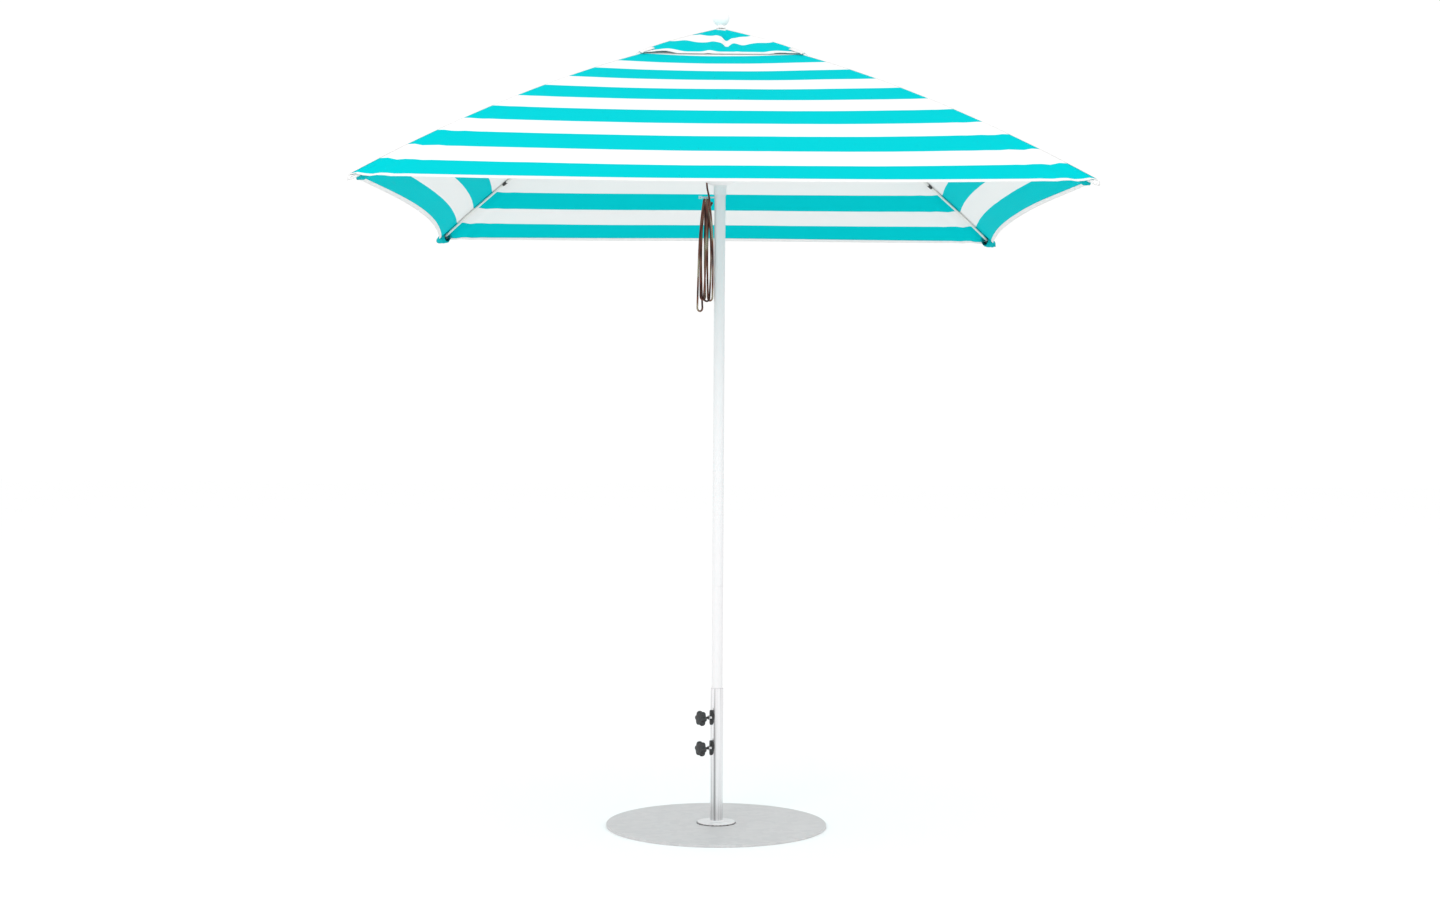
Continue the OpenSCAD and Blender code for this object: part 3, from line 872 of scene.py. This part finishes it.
# The corner pockets, from the hub's side out: the front two are drawn back along the rib, the rear two bulge.
FRONT_POCKET = (
    (1.452, 0.004, -0.006, 0.012), (1.480, 0.004, -0.021, 0.018), (1.510, 0.004, -0.029, 0.018),
    (1.526, 0.004, -0.023, 0.015),
)
FRONT_SLEEVE = (
    (1.515, 0.004, -0.010, 0.012), (1.530, 0.005, -0.010, 0.011), (1.550, 0.005, -0.009, 0.009),
    (1.5625, 0.005, -0.007, 0.007),
)
REAR_POCKET = (
    (1.512, 0.005, -0.028, 0.016), (1.524, 0.008, -0.027, 0.019), (1.540, 0.013, -0.019, 0.020),
    (1.553, 0.018, -0.011, 0.018), (1.564, 0.022, -0.005, 0.015),
)
POCKETS = {1: REAR_POCKET, 2: REAR_POCKET, 3: FRONT_POCKET, 4: FRONT_POCKET}

for n in range(1, 5):
    pieces = [
        seam_strip(f"ridge_seam_{n}", panel_point, n, VENT_HOLE + 0.002, HALF_SIDE - 0.004, 60),
        seam_strip(f"vent_seam_{n}", vent_point, n, 0.012, VENT_HALF - 0.004, 30),
        pocket(f"corner_pocket_{n}", n, POCKETS[n], pocket_cloth),
        vent_tab(f"vent_tab_{n}", n),
    ]
    if n in (3, 4):
        pieces.append(pocket(f"corner_sleeve_{n}", n, FRONT_SLEEVE, binding_cloth))
    for piece in pieces:
        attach(piece, f"rib_{n}")

# ---------------------------------------------------------------- knobs


def knob(name, axis, height, node, body):
    """Star knob: six soft lobes, a dished face and a short neck."""
    profile = [
        (0.0, 0.0240), (0.0060, 0.0240), (0.0110, 0.0236), (0.0140, 0.0222), (0.0165, 0.0226),
        (0.0200, 0.0222), (0.0240, 0.0200), (0.0266, 0.0160), (0.0272, 0.0120), (0.0268, 0.0075),
        (0.0245, 0.0035), (0.0200, 0.0012), (0.0140, 0.0000), (0.0110, -0.0008), (0.0085, -0.0030),
        (0.0070, -0.0050), (0.0041, -0.0052),
    ]
    depth = [0, 0, 0.02, 0.06, 0.12, 0.18, 0.23, 0.26, 0.27, 0.25, 0.2, 0.14, 0.06, 0.02, 0, 0, 0]

    def lobes(angle, i):
        wave = 0.5 + 0.5 * math.cos(6 * angle)
        return 1 - depth[i] * (1 - wave) ** 1.4

    centre = Vector((0, 0, height)) + axis * KNOB_REACH
    made = lathe(name, profile, black_plastic, 96, axis, centre, lobes)
    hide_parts(node)
    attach(made, body)


knob_turn = math.radians(KNOB_AZIMUTH)
knob_axis = Vector((math.cos(knob_turn), math.sin(knob_turn), 0))
knob("star_knob_high", knob_axis, KNOB_HIGH_Z, "knob_high", "high_knob")
knob("star_knob_low", knob_axis, KNOB_LOW_Z, "knob_low", "low_knob")

# ---------------------------------------------------------------- weld


def flange_weld():
    """The weld bead round the flange's foot: overlapping ripples, rounded across. Its dark steel is partly
    painted shade, standing for the shadow under the flange's edge.
    """
    radius = 0.0652
    height = 0.0096
    size = 0.0030
    pitch = 0.0015
    patches = 24
    random.seed(3)
    drift = [random.uniform(-1, 1) for _ in range(patches)]
    steps = int(2 * math.pi * radius / pitch)
    verts = []
    for i in range(steps + 1):
        a = 2 * math.pi * i / steps
        middle = Vector((radius * math.cos(a), radius * math.sin(a), height))
        patch = drift[int(i / steps * (patches - 0.01))]
        ripple = 1 + 0.16 * math.sin(a * radius / 0.0022) + 0.06 * patch
        out = Vector((math.cos(a), math.sin(a), 0))
        for k in range(7):
            b = math.radians(-10 + 180 * k / 6)
            verts.append(middle + (out * math.cos(b) + Vector((0, 0, 1)) * math.sin(b)) * size * ripple)
    return add_object("flange_weld", verts, grid_faces(steps + 1, 7), weld_and_edge_shade)


bead = flange_weld()
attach(bead, "stand")

# ---------------------------------------------------------------- floor and light


def floor_material():
    made = Shader("floor", (0.98, 0.98, 0.98), 0.9, Specular_IOR_Level=0.0)
    place = made.coordinates()
    made.colour(made.blend(made.noise(place, 0.6), (0.985, 0.985, 0.985), (0.975, 0.975, 0.975)))
    return made.material


floor_corners = [(-40, -40, 0), (40, -40, 0), (40, 40, 0), (-40, 40, 0)]
floor = add_object("floor", floor_corners, [(0, 1, 2, 3)], floor_material(), smooth=False)
floor.location.z = cad_low.z - 0.0002

world = bpy.data.worlds.new("studio")
world.use_nodes = True
world.node_tree.nodes["Background"].inputs["Color"].default_value = (1, 1, 1, 1)
world.node_tree.nodes["Background"].inputs["Strength"].default_value = 1.02
bpy.context.scene.world = world
bpy.context.scene.view_settings.view_transform = "Standard"


def area_light(name, location, target, size, power):
    data = bpy.data.lights.new(name, "AREA")
    data.shape = "DISK"
    data.size = size
    data.energy = power
    lamp = bpy.data.objects.new(name, data)
    lamp.location = location
    lamp.rotation_mode = "QUATERNION"
    lamp.rotation_quaternion = (Vector(target) - Vector(location)).to_track_quat("-Z", "Y")
    bpy.context.scene.collection.objects.link(lamp)


area_light("key", (-3.5, -8.0, 5.5), (0, 0, 1.8), 4.0, 230)
area_light("fill", (5.5, -6.0, 3.5), (0, 0, 1.6), 4.0, 50)
